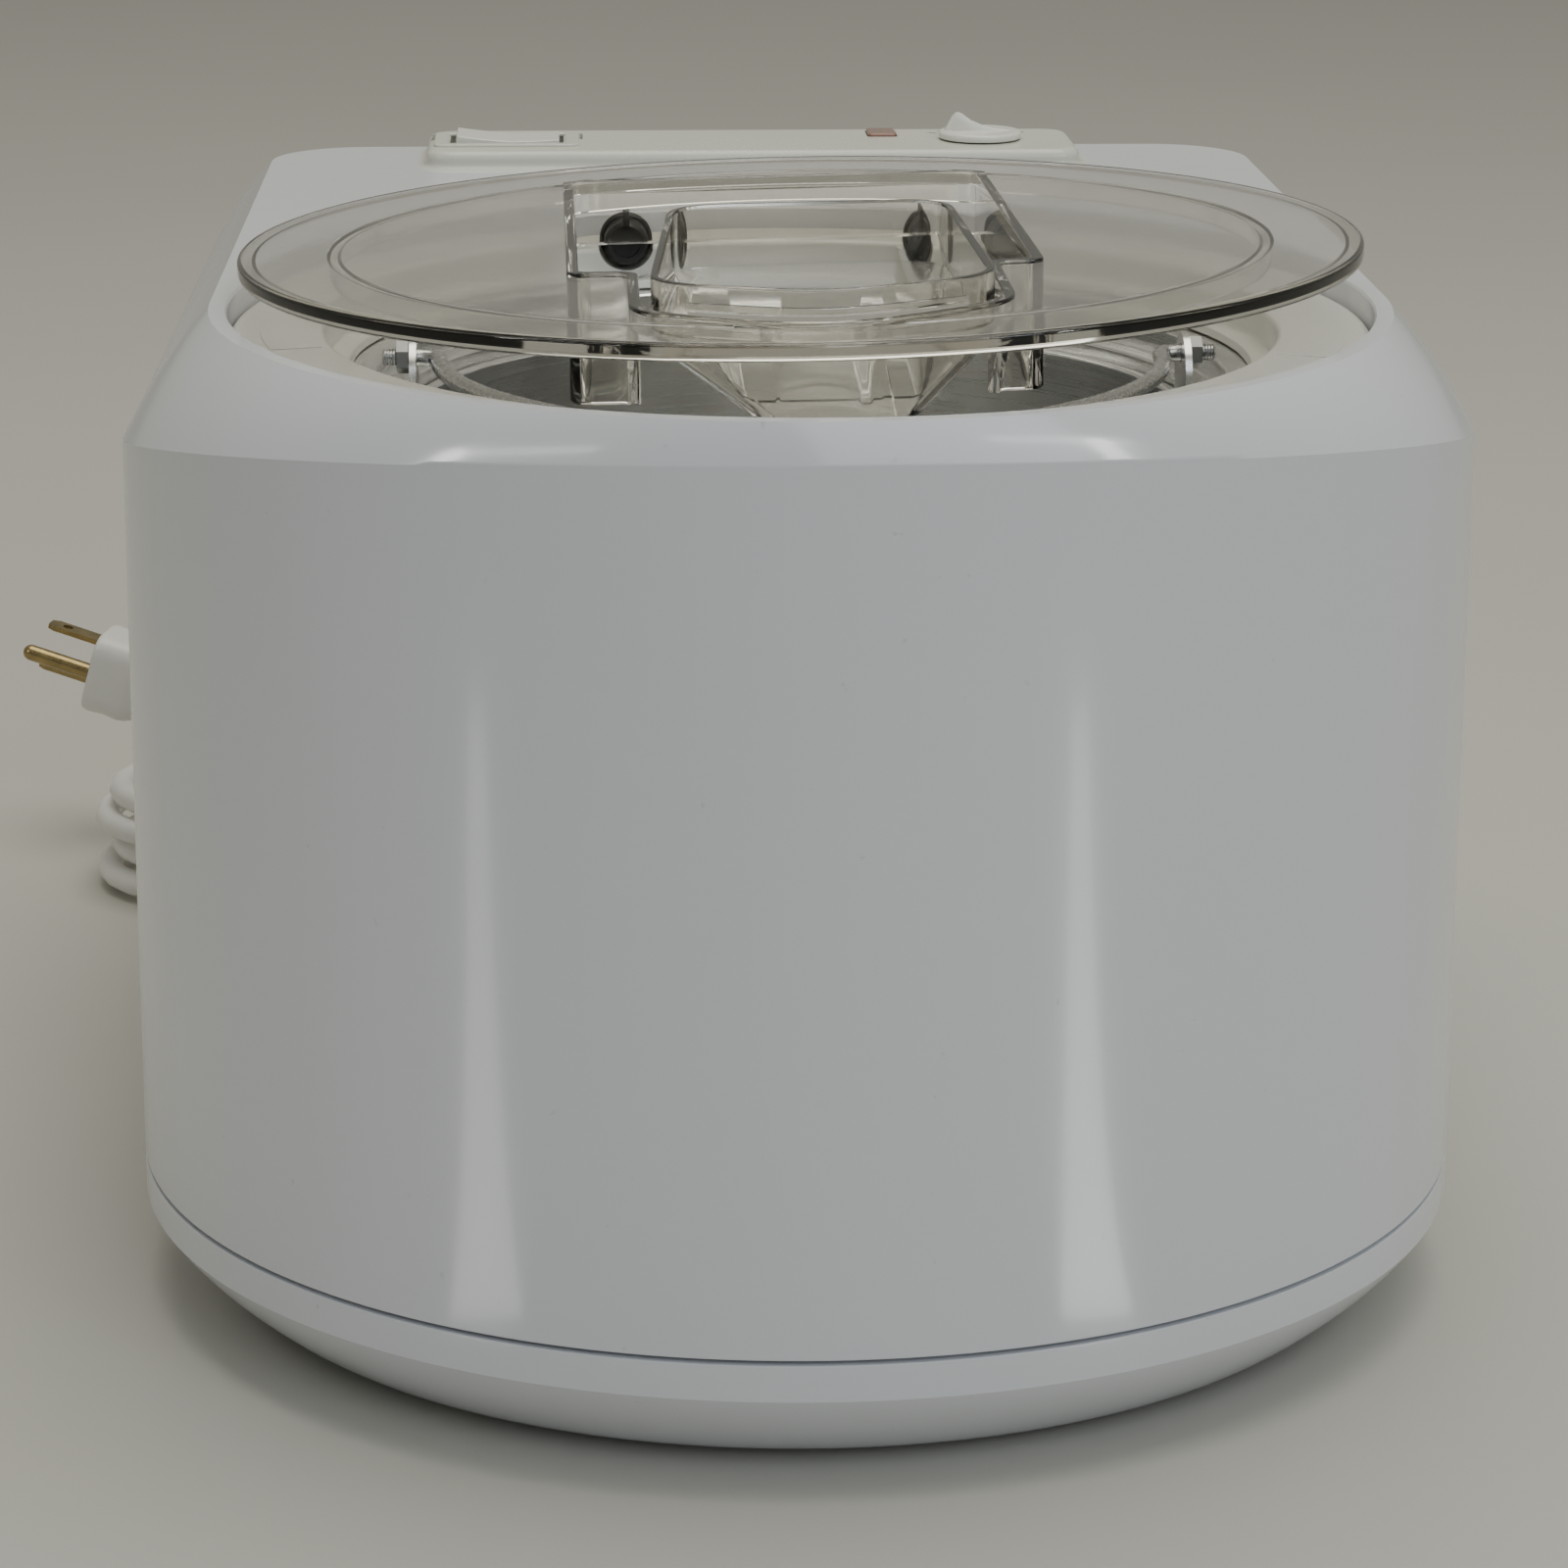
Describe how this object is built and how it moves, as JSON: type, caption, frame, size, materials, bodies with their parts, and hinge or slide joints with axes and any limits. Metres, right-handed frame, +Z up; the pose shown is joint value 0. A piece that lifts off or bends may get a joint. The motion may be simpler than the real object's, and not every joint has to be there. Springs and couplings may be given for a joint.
{
  "type": "ice cream maker",
  "caption": "Counter-top ice cream maker with its own cooling: bowed white housing, lift-out metal bowl with a bail, driven paddle, clear lid with a filling funnel, and rear controls.",
  "frame": {"origin": "on the table, under the middle of the housing", "axes": "+X to the right seen from the front, +Y to the rear with the mains lead, +Z up; the bowed front faces -Y"},
  "size_m": [0.3663, 0.5085, 0.2457],
  "materials": {
    "housing_white": "glossy, slightly bluish white",
    "ivory": "satin ivory",
    "clear_plastic": "clear, faintly smoky",
    "bowl_metal": "satin",
    "steel": "satin",
    "fin_metal": "mill finish",
    "copper": "drawn copper",
    "brass": "satin",
    "rubber": "matt black",
    "black_plastic": "matt black",
    "dark_paint": "satin black",
    "foam": "foam skin",
    "amber_lens": "amber",
    "paddle_plastic": "satin white",
    "cord_plastic": "satin white"
  },
  "bodies": {
    "machine": {"housing_shell": "housing_white", "base_tray": "housing_white", "well_surround": "ivory", "control_panel": "ivory", "switch_bezel": "ivory", "fixed_bowl": "bowl_metal", "base_screw_front_left": "steel", "base_screw_front_right": "steel", "base_screw_rear_left": "steel", "base_screw_rear_right": "steel", "motor_bracket": "steel", "drive_motor": "steel", "timer_body": "steel", "fan_motor": "steel", "fan_bracket": "steel", "condenser": "fin_metal", "evaporator_coil": "copper", "discharge_pipe": "copper", "filter_drier": "copper", "spindle_bush": "brass", "plug_blade_left": "brass", "plug_blade_right": "brass", "plug_pin": "brass", "foot_front_left": "rubber", "foot_front_right": "rubber", "foot_rear_left": "rubber", "foot_rear_right": "rubber", "lid_stop_left": "rubber", "lid_stop_right": "rubber", "drive_belt": "rubber", "grommet_front_left": "rubber", "grommet_front_right": "rubber", "grommet_rear_left": "rubber", "grommet_rear_right": "rubber", "switch_body": "black_plastic", "fan_shroud": "black_plastic", "cord_tie": "black_plastic", "compressor": "dark_paint", "insulation_jacket": "foam", "lamp_lens": "amber_lens", "strain_relief": "cord_plastic", "cord_lead": "cord_plastic", "cord_tail": "cord_plastic", "cord_hank": "cord_plastic", "plug_body": "cord_plastic"},
    "drive": {"drive_spindle": "steel", "drive_pulley": "black_plastic"},
    "motor_wheel": {"motor_pulley": "steel"},
    "bowl": {"removable_bowl": "bowl_metal"},
    "bail": {"bail_handle": "steel", "bail_nut_left": "steel", "bail_nut_right": "steel"},
    "paddle": {"paddle": "paddle_plastic"},
    "lid": {"lid": "clear_plastic"},
    "funnel": {"funnel": "clear_plastic"},
    "rocker": {"switch_rocker": "ivory"},
    "timer": {"timer_knob": "ivory"},
    "fan": {"fan_blades": "black_plastic"}
  },
  "joints": [
    {"name": "drive_spin", "type": "hinge", "parent": "machine", "child": "drive", "pos_m": [0, -0.067, 0.04], "axis": [0, 0, 1], "continuous": true},
    {"name": "motor_spin", "type": "hinge", "parent": "machine", "child": "motor_wheel", "pos_m": [0.015, 0.108, 0.04], "axis": [0, 0, 1], "continuous": true},
    {"name": "fan_spin", "type": "hinge", "parent": "machine", "child": "fan", "pos_m": [0.085, 0.135, 0.088], "axis": [0, 1, 0], "continuous": true},
    {"name": "bowl_lift", "type": "slide", "parent": "machine", "child": "bowl", "axis": [0, 0, 1], "range_m": [0, 0.25]},
    {"name": "paddle_spin", "type": "hinge", "parent": "bowl", "child": "paddle", "pos_m": [0, -0.067, 0.15], "axis": [0, 0, 1], "continuous": true},
    {"name": "lid_lift", "type": "slide", "parent": "bowl", "child": "lid", "axis": [0, 0, 1], "range_m": [0, 0.15]},
    {"name": "funnel_lift", "type": "slide", "parent": "lid", "child": "funnel", "axis": [0, 0, 1], "range_m": [0, 0.06]},
    {"name": "bail_swing", "type": "hinge", "parent": "bowl", "child": "bail", "pos_m": [0, -0.067, 0.2116], "axis": [-1, 0, 0], "range_deg": [0, 90]},
    {"name": "switch_rock", "type": "hinge", "parent": "machine", "child": "rocker", "pos_m": [-0.067, 0.14, 0.221], "axis": [0, -1, 0], "range_deg": [0, 11.4]},
    {"name": "timer_turn", "type": "hinge", "parent": "machine", "child": "timer", "pos_m": [0.058, 0.14, 0.23], "axis": [0, 0, -1], "range_deg": [0, 300]}
  ],
  "couplings": [
    {"joint": "motor_spin", "follows": "drive_spin", "ratio": 4},
    {"joint": "paddle_spin", "follows": "drive_spin", "ratio": 1},
    {"joint": "bail_swing", "follows": "lid_lift", "rad_per_m": 10.47}
  ]
}
